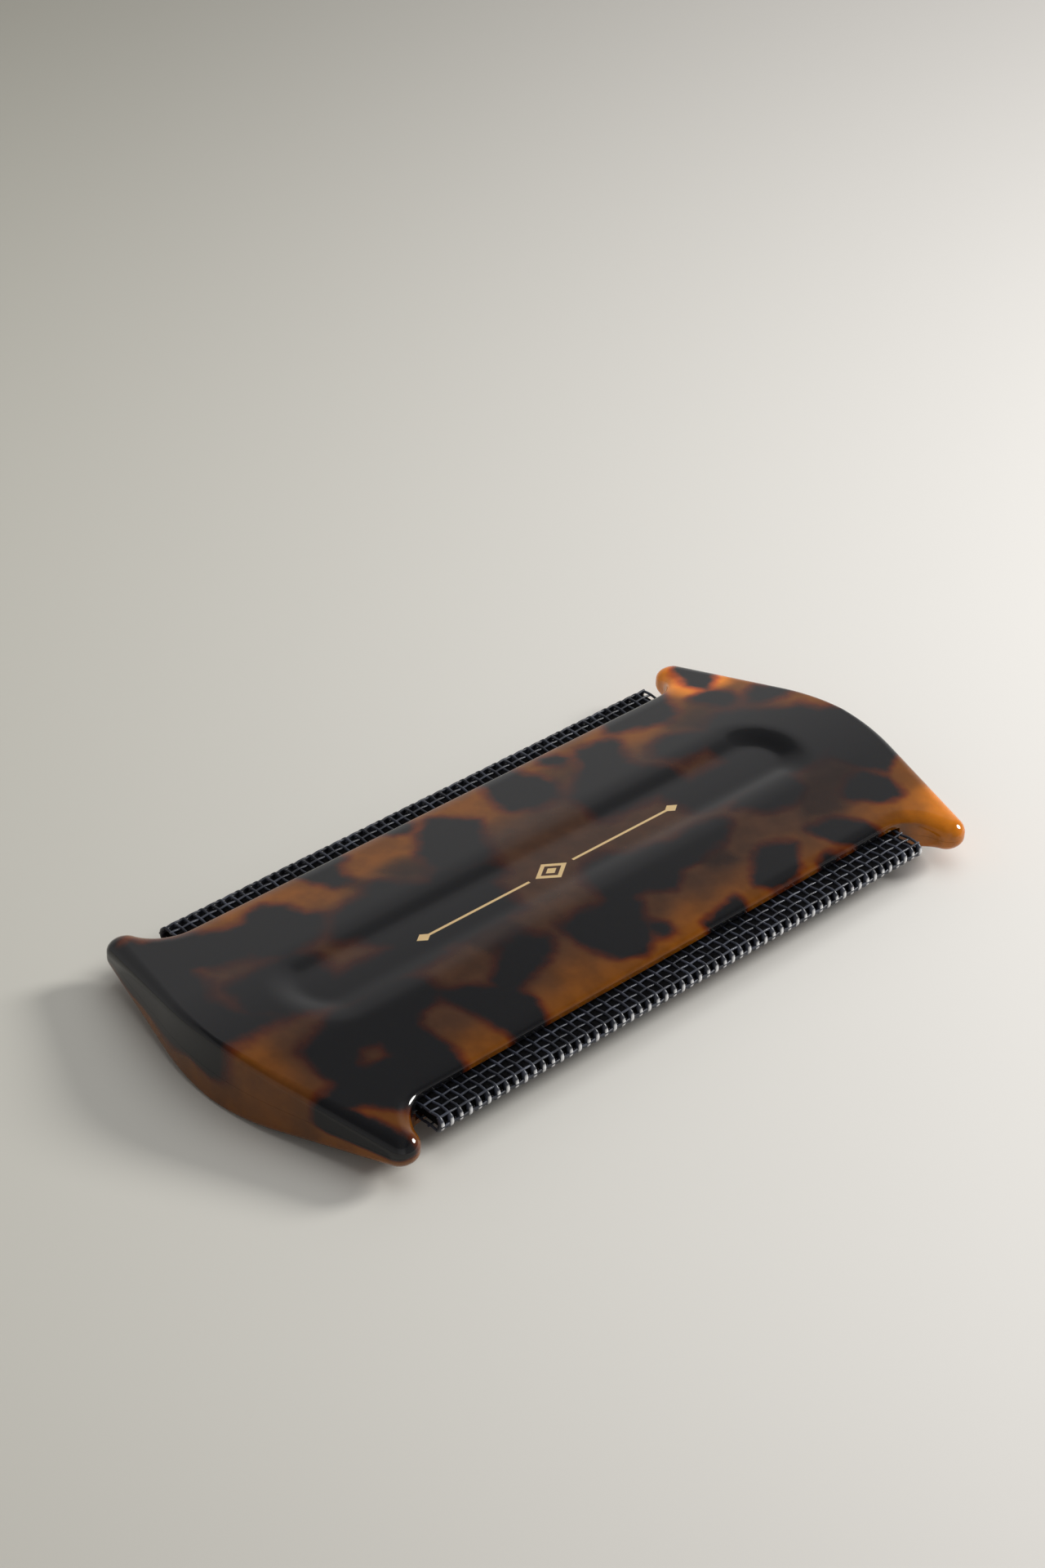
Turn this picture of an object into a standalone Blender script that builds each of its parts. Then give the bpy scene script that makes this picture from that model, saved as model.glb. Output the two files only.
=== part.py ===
"""Double-sided cashmere comb: two tortoiseshell body halves that trap a folded mesh strip along each side.

Frame: metres, +Z up. X runs along the comb and Y across it, and the comb lies flat on z = 0.
The origin is on the floor under the middle of the comb. The front strip is at -Y.
"""
from math import atan2, cos, hypot, pi, radians, sin, sqrt, tan

import bmesh
import bpy

# Body plan
LENGTH = 0.1050             # over the two bowed ends
WIDTH = 0.0512              # over the horns
HORN_REACH = 0.0058         # how far a horn stands out past the long edge
END_SLOPE = radians(13.7)   # angle of each straight end run from the Y axis
APEX_RADIUS = 0.040         # round of the bow at the middle of an end
HORN_RADIUS = 0.00215       # round of each horn tip
NOTCH_RADIUS = 0.0048       # hollow between a horn and the long edge

# Body section
THICKNESS = 0.00880         # crest to crest, before the rest land is cut
CROWN_RADIUS = 0.070        # round of the crest across the body
CROWN_SLOPE = radians(7.2)  # slope of the flanks towards the long edges
LAND_DEPTH = 0.00012        # how deep the lower crest is cut flat to rest on

# Width in plan and fall of the rounded edge, at three places round the outline
APEX_ROUND = (0.0007, 0.00060)
HORN_ROUND = (0.0020, 0.00150)
EDGE_ROUND = (0.0019, 0.00050)

# Thumb trough
TROUGH_LENGTH = 0.0850
TROUGH_WIDTH = 0.0104
TROUGH_DEPTH = 0.00050

# Folded mesh strips
MESH_REACH = 0.0042         # how far the fold stands out of the long edge
FOLD_RADIUS = 0.00120       # outer radius of the fold
LEAF_PINCH = 0.00015        # how much lower a leaf stands at the long edge than at the fold
MESH_THICKNESS = 0.00070    # woven sheet, over its crossing strands
MESH_LAP = 0.0013           # how far the strip runs on past the start of the notch
MARGIN_WIDTH = 0.0034       # flat margin of each leaf that the halves trap
RAMP_WIDTH = 0.0028         # run over which the leaves come together inside the body
MARGIN_SPACE = 0.00030      # between the two margins of one strip
GAP_PITCH = 0.00287         # one strand and one gap along the strip, twice the fine screen's pitch
GAP_ROWS = 5                # rows of gaps from one leaf round the fold to the other
STRAND_WIDTH = 0.00068

# Locating pegs
PEG_RADIUS = 0.0015
PEG_HEIGHT = 0.0017
PEG_ROOT = 0.0006           # how far a peg's stock runs down into the half that carries it
PEG_SPACING_X = 0.0720
PEG_SPACING_Y = 0.0200

# Clearances
PARTING_GAP = 0.00030       # between the two halves
SEAT_GAP = 0.00030          # between a mesh strip and its seat
PEG_GAP = 0.00030           # round and above a peg

# Facets
APEX_STEPS = 4
END_STEPS = 3
HORN_STEPS = 4              # on each side of the horn's tip
NOTCH_STEPS = 6
ROUND_STEPS = 3
CROWN_STEPS = 8
TROUGH_STEPS = 5
TROUGH_END_STEPS = 12
PEG_SIDES = 20

EDGE_Y = WIDTH / 2 - HORN_REACH
HALF_THICKNESS = THICKNESS / 2
MID_HEIGHT = HALF_THICKNESS - LAND_DEPTH
FOLD_Y = EDGE_Y + MESH_REACH - FOLD_RADIUS
LIP_HEIGHT = FOLD_RADIUS - LEAF_PINCH
MARGIN_HEIGHT = MARGIN_SPACE / 2 + MESH_THICKNESS
MERGE = 0.000002
BEYOND = 0.010              # how far a cutter runs out past what it cuts


def clear_scene():
    for obj in list(bpy.data.objects):
        bpy.data.objects.remove(obj, do_unlink=True)


def make_material(name, color, roughness, metallic):
    material = bpy.data.materials.new(name)
    material.use_nodes = True
    shader = material.node_tree.nodes["Principled BSDF"]
    shader.inputs["Base Color"].default_value = (*color, 1.0)
    shader.inputs["Roughness"].default_value = roughness
    shader.inputs["Metallic"].default_value = metallic
    return material


def close_up(bm):
    """Merges the doubles of a closed body and turns its faces outwards."""
    bmesh.ops.remove_doubles(bm, verts=bm.verts, dist=MERGE)
    bmesh.ops.dissolve_degenerate(bm, edges=bm.edges, dist=MERGE)
    bmesh.ops.recalc_face_normals(bm, faces=bm.faces)
    return bm


def turn_over(bm):
    """Mirrors a closed body in the comb's middle plane."""
    bmesh.ops.scale(bm, verts=bm.verts, vec=(1, 1, -1))
    bmesh.ops.reverse_faces(bm, faces=bm.faces)
    return bm


def add_object(name, bm, material=None):
    """Turns a bmesh into an object on the comb's middle plane."""
    mesh = bpy.data.meshes.new(name)
    bm.to_mesh(mesh)
    bm.free()
    obj = bpy.data.objects.new(name, mesh)
    bpy.context.collection.objects.link(obj)
    obj.location.z = MID_HEIGHT
    if material:
        mesh.materials.append(material)
    return obj


def add_cutter(name, bm):
    cutter = add_object(name, bm)
    cutter.hide_render = True
    cutter.display_type = "WIRE"
    return cutter


def cut(obj, cutter, operation="DIFFERENCE"):
    modifier = obj.modifiers.new(cutter.name, "BOOLEAN")
    modifier.operation = operation
    modifier.object = cutter


def crown_height(y):
    """Height of the crowned face from the middle plane, at a distance y from the centre line."""
    y = abs(y)
    round_y = CROWN_RADIUS * sin(CROWN_SLOPE)
    if y < round_y:
        fall = CROWN_RADIUS - sqrt(CROWN_RADIUS ** 2 - y ** 2)
    else:
        fall = CROWN_RADIUS * (1 - cos(CROWN_SLOPE)) + (y - round_y) * tan(CROWN_SLOPE)
    return HALF_THICKNESS - fall


def horn_centre():
    """Centre of the horn's round, tangent to the straight end run."""
    run_x = LENGTH / 2 - APEX_RADIUS * (1 - cos(END_SLOPE))
    run_y = APEX_RADIUS * sin(END_SLOPE)
    y = WIDTH / 2 - HORN_RADIUS
    x = run_x - (HORN_RADIUS + (y - run_y) * sin(END_SLOPE)) / cos(END_SLOPE)
    return x, y


def notch_centre():
    """Centre of the notch's hollow, tangent to the long edge and to the horn's round."""
    horn_x, horn_y = horn_centre()
    y = EDGE_Y + NOTCH_RADIUS
    reach = HORN_RADIUS + NOTCH_RADIUS
    return horn_x - sqrt(reach ** 2 - (horn_y - y) ** 2), y


def mix(a, b, share):
    return tuple(p + (q - p) * share for p, q in zip(a, b))


def end_outline():
    """Outline from the apex of the +X end to the +Y long edge, as (x, y, outward normal, edge round)."""
    horn_x, horn_y = horn_centre()
    notch_x, notch_y = notch_centre()
    points = []
    apex_x = LENGTH / 2 - APEX_RADIUS
    run_start = (apex_x + APEX_RADIUS * cos(END_SLOPE), APEX_RADIUS * sin(END_SLOPE))
    run_end = (horn_x + HORN_RADIUS * cos(END_SLOPE), horn_y + HORN_RADIUS * sin(END_SLOPE))

    def end_round(y):
        return mix(APEX_ROUND, HORN_ROUND, y / run_end[1])

    for step in range(APEX_STEPS):
        angle = END_SLOPE * step / APEX_STEPS
        x, y = apex_x + APEX_RADIUS * cos(angle), APEX_RADIUS * sin(angle)
        points.append((x, y, (cos(angle), sin(angle)), end_round(y)))
    for step in range(END_STEPS):
        x, y = mix(run_start, run_end, step / END_STEPS)
        points.append((x, y, (cos(END_SLOPE), sin(END_SLOPE)), end_round(y)))
    join = atan2(notch_y - horn_y, notch_x - horn_x) % (2 * pi)
    for start, stop in ((END_SLOPE, pi / 2), (pi / 2, join)):
        for step in range(HORN_STEPS):
            angle = start + (stop - start) * step / HORN_STEPS
            normal = (cos(angle), sin(angle))
            x, y = horn_x + HORN_RADIUS * normal[0], horn_y + HORN_RADIUS * normal[1]
            points.append((x, y, normal, HORN_ROUND))
    for step in range(NOTCH_STEPS + 1):
        angle = join - pi - (join - pi / 2) * step / NOTCH_STEPS
        normal = (-cos(angle), -sin(angle))
        x, y = notch_x - NOTCH_RADIUS * normal[0], notch_y - NOTCH_RADIUS * normal[1]
        points.append((x, y, normal, mix(EDGE_ROUND, HORN_ROUND, (1 - step / NOTCH_STEPS) ** 2)))
    return points


def side_outline():
    """Outline of the whole +Y side, from the apex of the +X end to the apex of the -X end."""
    end = end_outline()
    mirrored = [(-x, y, (-normal[0], normal[1]), edge) for x, y, normal, edge in reversed(end)]
    return end + mirrored


def edge_column(x, y, normal, edge):
    """Points up the side wall and over its rounded edge, which falls away from the crowned face."""
    width, fall = edge
    column = [(x, y, PARTING_GAP / 2)]
    for step in range(ROUND_STEPS + 1):
        angle = pi / 2 * step / ROUND_STEPS
        inset = width * (1 - cos(angle))
        inset_y = y - inset * normal[1]
        column.append((x - inset * normal[0], inset_y, crown_height(inset_y) - fall * (1 - sin(angle))))
    return column


def crown_lines():
    """Distances from the centre line at which the crowned face has an edge."""
    round_y = CROWN_RADIUS * sin(CROWN_SLOPE)
    return [round_y * (2 * step / CROWN_STEPS - 1) for step in range(CROWN_STEPS + 1)]


def body_half():
    """Solid half of the body above the middle plane, lofted from one end to the other."""
    bm = bmesh.new()
    rings = []
    for x, y, normal, edge in side_outline():
        column = edge_column(x, y, normal, edge)
        top_x, top_y, _ = column[-1]
        far_side = [(px, -py, pz) for px, py, pz in column]
        crown = []
        for line in crown_lines():
            line_y = max(-top_y, min(top_y, line))
            crown.append((top_x, line_y, crown_height(line_y)))
        ring = far_side + crown + column[::-1]
        rings.append([bm.verts.new(point) for point in ring])
    for first, second in zip(rings, rings[1:]):
        bridge(bm, first, second)
    return close_up(bm)


def trough_bowl():
    """Boat-shaped bowl that hollows the crown, round in section and at its ends."""
    half_width = TROUGH_WIDTH / 2
    drop = HALF_THICKNESS - crown_height(half_width)
    depth = TROUGH_DEPTH - drop
    radius = (half_width ** 2 + depth ** 2) / (2 * depth)
    floor = HALF_THICKNESS - TROUGH_DEPTH
    over = half_width * 1.3
    straight = TROUGH_LENGTH / 2 - half_width
    bm = bmesh.new()
    rings = []
    for step in range(1, TROUGH_STEPS + 1):
        distance = over * step / TROUGH_STEPS
        height = floor + radius - sqrt(radius ** 2 - distance ** 2)
        rings.append(stadium(bm, straight, distance, height))
    rings.append(stadium(bm, straight, over, HALF_THICKNESS + BEYOND))
    for first, second in zip(rings, rings[1:]):
        bridge(bm, first, second)
    bm.faces.new(rings[-1])
    ends = [bm.verts.new((straight, 0, floor)), bm.verts.new((-straight, 0, floor))]
    inner = rings[0]
    half = len(inner) // 2
    for side, end in enumerate(ends):
        arc = inner[side * half:(side + 1) * half]
        for first, second in zip(arc, arc[1:]):
            bm.faces.new((end, second, first))
        bm.faces.new((end, ends[1 - side], inner[((side + 1) * half) % len(inner)], arc[-1]))
    return close_up(bm)


def stadium(bm, straight, radius, height):
    """Ring of points round a stadium: two half circles of one radius, a straight run apart."""
    ring = []
    for side in (1, -1):
        for step in range(TROUGH_END_STEPS + 1):
            angle = pi * (step / TROUGH_END_STEPS - 0.5)
            x = side * (straight + radius * cos(angle))
            ring.append(bm.verts.new((x, side * radius * sin(angle), height)))
    return ring


def bridge(bm, first, second):
    for i in range(len(first)):
        j = (i + 1) % len(first)
        bm.faces.new((first[i], first[j], second[j], second[i]))


def mesh_half_length():
    return notch_centre()[0] + MESH_LAP


def seat_block(side):
    """Seat for one leaf of a strip: flat over the margin, then opening out to the long edge."""
    margin_y = EDGE_Y - RAMP_WIDTH
    roof = MARGIN_HEIGHT + SEAT_GAP
    lip = LIP_HEIGHT + SEAT_GAP
    rise = (lip - roof) / RAMP_WIDTH
    profile = [(margin_y - MARGIN_WIDTH - SEAT_GAP, roof), (margin_y, roof),
               (EDGE_Y + MESH_REACH, lip + rise * MESH_REACH), (EDGE_Y + MESH_REACH, -BEYOND),
               (margin_y - MARGIN_WIDTH - SEAT_GAP, -BEYOND)]
    reach = mesh_half_length() + SEAT_GAP
    bm = bmesh.new()
    face = bm.faces.new([bm.verts.new((-reach, side * y, z)) for y, z in profile])
    extrude_along(bm, face, (2 * reach, 0, 0))
    return close_up(bm)


def rest_block():
    """Block that cuts the lower crest flat, so that the comb lies still."""
    bm = bmesh.new()
    bmesh.ops.create_cube(bm, size=1.0)
    bmesh.ops.scale(bm, verts=bm.verts, vec=(LENGTH + BEYOND, WIDTH, BEYOND))
    bmesh.ops.translate(bm, verts=bm.verts, vec=(0, 0, -MID_HEIGHT - BEYOND / 2))
    return close_up(bm)


def extrude_along(bm, face, offset):
    result = bmesh.ops.extrude_face_region(bm, geom=[face])
    moved = [item for item in result["geom"] if isinstance(item, bmesh.types.BMVert)]
    bmesh.ops.translate(bm, verts=moved, vec=offset)


def peg_bodies(radius, low, high):
    """Round bodies at the four peg places, from one height above the middle plane to another."""
    bm = bmesh.new()
    for x in (-PEG_SPACING_X / 2, PEG_SPACING_X / 2):
        for y in (-PEG_SPACING_Y / 2, PEG_SPACING_Y / 2):
            made = bmesh.ops.create_cone(bm, cap_ends=True, segments=PEG_SIDES,
                                         radius1=radius, radius2=radius, depth=high - low)
            bmesh.ops.translate(bm, verts=made["verts"], vec=(x, y, (low + high) / 2))
    return close_up(bm)


def shade(obj, angle):
    obj.data.shade_smooth()
    obj.data.set_sharp_from_angle(angle=angle)


def make_body(material):
    """The two halves: alike outside, with sockets in the upper one and pegs on the lower one."""
    upper = add_object("upper_body", body_half(), material)
    lower = add_object("lower_body", turn_over(body_half()), material)
    cut(upper, add_cutter("upper_trough", trough_bowl()))
    cut(lower, add_cutter("lower_trough", turn_over(trough_bowl())))
    cut(lower, add_cutter("rest_land", rest_block()))
    for side in (-1, 1):
        cut(upper, add_cutter("upper_seat", seat_block(side)))
        cut(lower, add_cutter("lower_seat", turn_over(seat_block(side))))
    sockets = peg_bodies(PEG_RADIUS + PEG_GAP, -BEYOND, PEG_HEIGHT + PEG_GAP)
    cut(upper, add_cutter("sockets", sockets))
    pegs = peg_bodies(PEG_RADIUS, -PEG_ROOT, PEG_HEIGHT)
    cut(lower, add_cutter("pegs", pegs), "UNION")
    for half in (upper, lower):
        shade(half, radians(25))


def strip_point(distance):
    """Outer surface of the folded strip at a distance round it from the upper lip, as (y, z)."""
    leaf_run = hypot(FOLD_Y - EDGE_Y, LEAF_PINCH)
    fold_run = pi * FOLD_RADIUS
    if distance < leaf_run:
        share = distance / leaf_run
        return EDGE_Y + (FOLD_Y - EDGE_Y) * share, LIP_HEIGHT + LEAF_PINCH * share
    if distance <= leaf_run + fold_run:
        angle = pi / 2 - (distance - leaf_run) / FOLD_RADIUS
        return FOLD_Y + FOLD_RADIUS * cos(angle), FOLD_RADIUS * sin(angle)
    y, z = strip_point(max(0.0, 2 * leaf_run + fold_run - distance))
    return y, -z


def strip_rows():
    """Lines that run along the strip, as (y, z, gap follows), from the upper lip to the lower one."""
    round_length = 2 * hypot(FOLD_Y - EDGE_Y, LEAF_PINCH) + pi * FOLD_RADIUS
    pitch = round_length / GAP_ROWS
    rows = [(*strip_point(0.0), False)]
    for row in range(GAP_ROWS):
        start = row * pitch + STRAND_WIDTH / 2
        end = (row + 1) * pitch - STRAND_WIDTH / 2
        rows.append((*strip_point(start), True))
        if 0 < row < GAP_ROWS - 1:
            rows.append((*strip_point((start + end) / 2), True))
        rows.append((*strip_point(end), False))
    rows.append((*strip_point(round_length), False))
    return rows


def strip_columns():
    """Places along X where a strand or a gap starts, as (x, gap follows)."""
    half = mesh_half_length()
    gaps = round((2 * half - STRAND_WIDTH) / GAP_PITCH)
    pitch = (2 * half - STRAND_WIDTH) / gaps
    columns = []
    for index in range(gaps):
        start = -half + index * pitch
        columns.append((start, False))
        columns.append((start + STRAND_WIDTH, True))
    columns.append((half - STRAND_WIDTH, False))
    columns.append((half, False))
    return columns


def make_strip(name, side, material):
    """Net folded over double, with its two margins lying together inside the body."""
    rows = strip_rows()
    columns = strip_columns()
    bm = bmesh.new()
    net = [[bm.verts.new((x, side * y, z)) for x, _ in columns] for y, z, _ in rows]
    for i, (_, _, gap_row) in enumerate(rows[:-1]):
        for j, (_, gap_column) in enumerate(columns[:-1]):
            if not (gap_row and gap_column):
                bm.faces.new((net[i][j], net[i][j + 1], net[i + 1][j + 1], net[i + 1][j]))
    half = mesh_half_length()
    for lip, sign in ((net[0], 1), (net[-1], -1)):
        ramp_y = EDGE_Y - RAMP_WIDTH
        edge_y = ramp_y - MARGIN_WIDTH
        ramp = [bm.verts.new((x, side * ramp_y, sign * MARGIN_HEIGHT)) for x in (half, -half)]
        edge = [bm.verts.new((x, side * edge_y, sign * MARGIN_HEIGHT)) for x in (-half, half)]
        bm.faces.new(lip + ramp)
        bm.faces.new(ramp[::-1] + edge[::-1])
    bmesh.ops.recalc_face_normals(bm, faces=bm.faces)
    if sum(face.normal.y * face.calc_area() for face in bm.faces) * side < 0:
        bmesh.ops.reverse_faces(bm, faces=bm.faces)
    strip = add_object(name, bm, material)
    thicken = strip.modifiers.new("thickness", "SOLIDIFY")
    thicken.thickness = MESH_THICKNESS
    thicken.offset = -1
    thicken.use_even_offset = True
    shade(strip, radians(40))


def main():
    clear_scene()
    tortoiseshell = make_material("tortoiseshell_plastic", (0.20, 0.085, 0.025), 0.12, 0.0)
    black_mesh = make_material("black_mesh", (0.02, 0.02, 0.022), 0.35, 0.0)
    make_body(tortoiseshell)
    make_strip("front_mesh", -1, black_mesh)
    make_strip("rear_mesh", 1, black_mesh)


main()
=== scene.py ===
"""Cashmere comb: polished tortoiseshell shells and woven black screens, dressed on the packed solids.

Frame: metres, as in the CAD. X runs along the comb, Y across it, and the comb lies flat on z = 0.
"""
from contextlib import contextmanager
from math import asin, atan2, cos, hypot, pi, radians, sin, sqrt, tan

import bpy
import numpy as np
from mathutils import Matrix, Vector


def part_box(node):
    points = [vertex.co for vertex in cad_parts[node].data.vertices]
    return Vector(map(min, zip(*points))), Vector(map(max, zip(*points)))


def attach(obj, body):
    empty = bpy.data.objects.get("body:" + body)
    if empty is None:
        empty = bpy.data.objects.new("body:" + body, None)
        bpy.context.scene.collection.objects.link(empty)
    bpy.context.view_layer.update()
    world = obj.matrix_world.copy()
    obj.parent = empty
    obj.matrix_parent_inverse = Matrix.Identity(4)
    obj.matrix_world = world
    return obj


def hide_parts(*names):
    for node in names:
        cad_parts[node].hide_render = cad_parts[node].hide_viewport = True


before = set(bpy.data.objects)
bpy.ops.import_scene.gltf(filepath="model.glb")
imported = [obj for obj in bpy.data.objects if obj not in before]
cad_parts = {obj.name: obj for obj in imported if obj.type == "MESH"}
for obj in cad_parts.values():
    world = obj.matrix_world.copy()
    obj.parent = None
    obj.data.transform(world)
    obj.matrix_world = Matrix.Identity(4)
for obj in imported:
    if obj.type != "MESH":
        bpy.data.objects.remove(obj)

bl_info = {
    "name": "Cashmere comb",
    "version": (1, 0, 0),
    "blender": (4, 5, 0),
    "location": "View3D > Sidebar > Comb",
    "description": "Adds the shells and screens of a tortoiseshell cashmere comb, and its studio",
    "category": "Add Mesh",
}

MM = 0.001
UPPER_LOW, UPPER_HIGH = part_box("upper_body")
REST_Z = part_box("lower_body")[0].z
COMB_LENGTH = UPPER_HIGH.x - UPPER_LOW.x
COMB_WIDTH = UPPER_HIGH.y - UPPER_LOW.y
HALF_THICKNESS = 4.40 * MM
MIDDLE_Z = UPPER_HIGH.z - HALF_THICKNESS
SCREEN_THICKNESS = 0.70 * MM

# Outlines of the dark chips near the upper face, in millimetres along and across the comb
LEFT_CHIPS = (
    ((-54, 22.6), (-45.6, 22.2), (-44.6, 13.6), (-46.2, 9), (-48, 5.5), (-47, 2), (-44, -1.6), (-54, -1.9)),
    ((-54, 21), (-47.4, 21), (-47.2, 23), (-46.2, 24.4), (-46.2, 28), (-54, 28)),
    ((-47.5, 21.6), (-43.5, 20.2), (-40.2, 18.4), (-37.6, 15.9), (-36, 11), (-39, 9.6), (-42.5, 10.8),
     (-45.5, 13.5)),
    ((-38, 15.9), (-34, 15.3), (-32.4, 16.8), (-30.6, 16.9), (-28.9, 15), (-28.6, 12.2), (-27.2, 10.3),
     (-28.6, 8.6), (-31.5, 7.4), (-35.4, 6.6), (-38.5, 9)),
    ((-44.6, 6.3), (-39, 6.6), (-35.6, 6.3), (-33.8, 4.6), (-34.2, 2), (-34.6, -0.2), (-36, -3.4),
     (-43.5, -1.8), (-46.5, 1), (-45, 4.2)),
    ((-37, -0.2), (-25.8, -0.2), (-22, -0.5), (-22, -4.2), (-26.5, -4.6), (-37.5, -4.6)),
    ((-45.6, -8), (-41.4, -6.4), (-38.6, -4.8), (-29.5, -4.6), (-27.6, -6.6), (-27, -9.8), (-31.2, -10.2),
     (-37.6, -11.4), (-40.6, -10.8), (-42.6, -12.4), (-42.8, -14.2), (-46, -14.4), (-46.4, -11)),
    ((-37.6, -10), (-31.4, -10), (-33, -12), (-33, -15), (-32.7, -18), (-33.6, -21.5), (-38.5, -21.5),
     (-38, -14)),
    ((-49, -14.6), (-42.6, -14), (-37, -14.6), (-37, -21), (-43.4, -20.6), (-45.7, -17.9), (-48.2, -16.8)),
    ((-53, -14.6), (-48.8, -14.6), (-47.5, -19.5), (-46.1, -23.4), (-45.3, -28), (-53, -28)),
    ((-27.6, -9.6), (-24.2, -10.8), (-20.8, -13.8), (-19.8, -16.2), (-20.2, -19.2), (-21, -21.2),
     (-24.6, -21.2), (-25.4, -17.2), (-26.2, -13.6)),
)
MIDDLE_CHIPS = (
    ((-29.2, 5.4), (-28, 7.2), (-26, 9), (-23, 9.6), (-20.6, 9.8), (-19.4, 11.1), (-17.9, 11.2), (-16.8, 9.4),
     (-15.4, 7.4), (-13.8, 6.3), (-12, 7.4), (-10.6, 8), (-9, 6), (-5.4, 5), (-5.2, 3.2), (-8, 2.4),
     (-9, -3.6), (-24, -3.8), (-25.4, 1.2), (-27, 4)),
    ((-10.6, 8), (-10, 12), (-7.8, 14.2), (-5, 16.6), (-3.5, 17.6), (-2.2, 16.6), (0.1, 13.2), (-2.8, 9.2),
     (-5.2, 5.4), (-9, 5.4)),
    ((-22.7, 20.6), (-22.5, 16.8), (-21.6, 14.6), (-19.8, 14.4), (-19, 16.8), (-18.6, 18), (-16.6, 18.7),
     (-16.6, 20.6)),
    ((-9.2, 20.6), (-8.2, 18.4), (-7, 17.6), (-5.9, 18.6), (-5.7, 20.6)),
    ((-21, -14.8), (-20.6, -11.8), (-17.6, -9.8), (-15.2, -8.4), (-13, -8), (-10.6, -10.2), (-12, -11.8),
     (-13.6, -12.4), (-16.2, -13.2)),
    ((-7.9, -9.8), (-4, -9.5), (2.4, -9.8), (2.4, -12.4), (0.2, -15), (-1.2, -17.2), (-3.2, -18.4),
     (-6, -17.2), (-7.6, -14)),
    ((0.3, -15.8), (1.3, -15.2), (2.4, -16.2), (2, -17.6), (0.7, -17.6)),
    ((0, -9.8), (0.6, -5.8), (3.4, -2.9), (6.6, -2.8), (8.4, -4.8), (12, -5.5), (14, -6.6), (16.4, -6.3),
     (18.8, -6.2), (21, -6.4), (22.4, -7.4), (19.6, -9.6), (14, -10.1), (11, -10.3), (9.4, -11.7), (8, -12.3),
     (5, -10.6)),
    ((6.8, -19.6), (9.6, -18.6), (12.8, -18.4), (12.4, -20), (11.6, -21.5), (8.6, -21.5)),
    ((5, 12), (5.2, 14.8), (6.6, 17.2), (8, 20.6), (11.4, 20.6), (12, 17), (13, 15.4), (12.6, 12.2),
     (10.6, 10.2), (7.4, 10.2)),
    ((15.8, 17.4), (16.8, 18.5), (18.4, 17.4), (18.8, 16.2), (17, 15.8)),
)
RIGHT_CHIPS = (
    ((11.8, 3.2), (12.4, 8.6), (15, 10.2), (17, 11.7), (19.4, 14.2), (21.4, 16.4), (24, 15.8), (26, 15.2),
     (24.2, 12.2), (22.2, 9.8), (23.2, 7.4), (25.2, 5.2), (25, 2.8)),
    ((16.8, -17.8), (19.8, -14.9), (22.4, -13.8), (26, -15.3), (24.6, -17.2), (22.6, -18.6), (21.4, -19.6),
     (18, -19.2)),
    ((26, -21.5), (26.4, -19.9), (28.2, -19.4), (30, -20.4), (30.4, -21.5)),
    ((29.8, -14.8), (33, -15), (35, -16), (36.2, -18), (36.8, -20), (33.6, -20.6), (31, -18.6)),
    ((25.8, -6.2), (27.6, -4.6), (33, -4.4), (36, -5.4), (35, -8.2), (32, -9.8), (28.4, -9)),
    ((38.4, -13.4), (41, -10.9), (43.4, -11), (45.2, -13.4), (44.6, -16.3), (42, -16.1), (40, -14.6)),
    ((33.6, 6.6), (36.6, 8.6), (39.6, 9.6), (42.2, 8.6), (44.4, 6.6), (46.2, 4.8), (48.8, 3.8), (49.6, 1.6),
     (53, -0.4), (53, -3), (47, -4.6), (40, -5.8), (34, -4.6), (25, -4), (22, -3.4), (21, 1), (21.5, 5),
     (25, 5.2), (26, 1.6), (32.8, 1.8), (33.4, 5)),
    ((44.6, -3.6), (53, -2.4), (53, -9), (49.2, -11.2), (46.6, -12.2), (44.8, -10), (43.6, -6)),
    ((26.8, 8.4), (28.2, 9.8), (31, 10.6), (33, 9.2), (35.4, 7.6), (34, 5.8), (28.4, 5.8)),
    ((27.4, 17), (28.8, 18.8), (30, 20.6), (39.4, 20.6), (38.4, 17.6), (36.2, 14.8), (34.4, 14),
     (31.6, 15.2)),
    ((41, 15.4), (43.6, 15.4), (45.2, 13.2), (44.6, 11.2), (42.2, 11)),
    ((46.4, 23.4), (49.4, 19.6), (46.2, 17.4), (44.2, 16.4), (43.6, 18.6), (44.8, 21.4)),
    ((45.2, 9.2), (46.6, 10.9), (48.6, 11.4), (50.6, 10), (53, 8.4), (49.2, 7.8), (47, 8.2)),
)
# Deeper and softer chips that only dull the amber over them
DEEP_CHIPS = (
    ((-15.5, 12.8), (-12.5, 13.2), (-11, 11), (-12, 8.8), (-15, 9)),
    ((-22, 14.6), (-19.4, 14.6), (-18.6, 12), (-20.8, 11.6)),
    ((-18.5, -4), (-12, -4), (-11.5, -7), (-15, -8.4), (-18, -8)),
    ((13.4, 12), (16.8, 12.4), (18.6, 15), (14.6, 15.8)),
    ((33, -9), (44, -5), (45, -9), (40, -11), (36, -14), (31, -13)),
    ((14, -10.4), (18, -11), (18, -13.4), (14.6, -13.2)),
    ((33, 12), (41, 16), (41, 12), (36, 9.4)),
)


# Properties


def number_of(default, name, description, **limits):
    return bpy.props.FloatProperty(name=name, description=description, default=default, **limits)


def length_of(*words):
    return number_of(*words, min=0.0, unit="LENGTH", precision=5)


def factor_of(*words):
    return number_of(*words, min=0.0, max=1.0, subtype="FACTOR")


def color_of(default, name, description):
    return bpy.props.FloatVectorProperty(name=name, description=description, default=default,
                                         size=3, min=0.0, max=1.0, subtype="COLOR")


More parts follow.
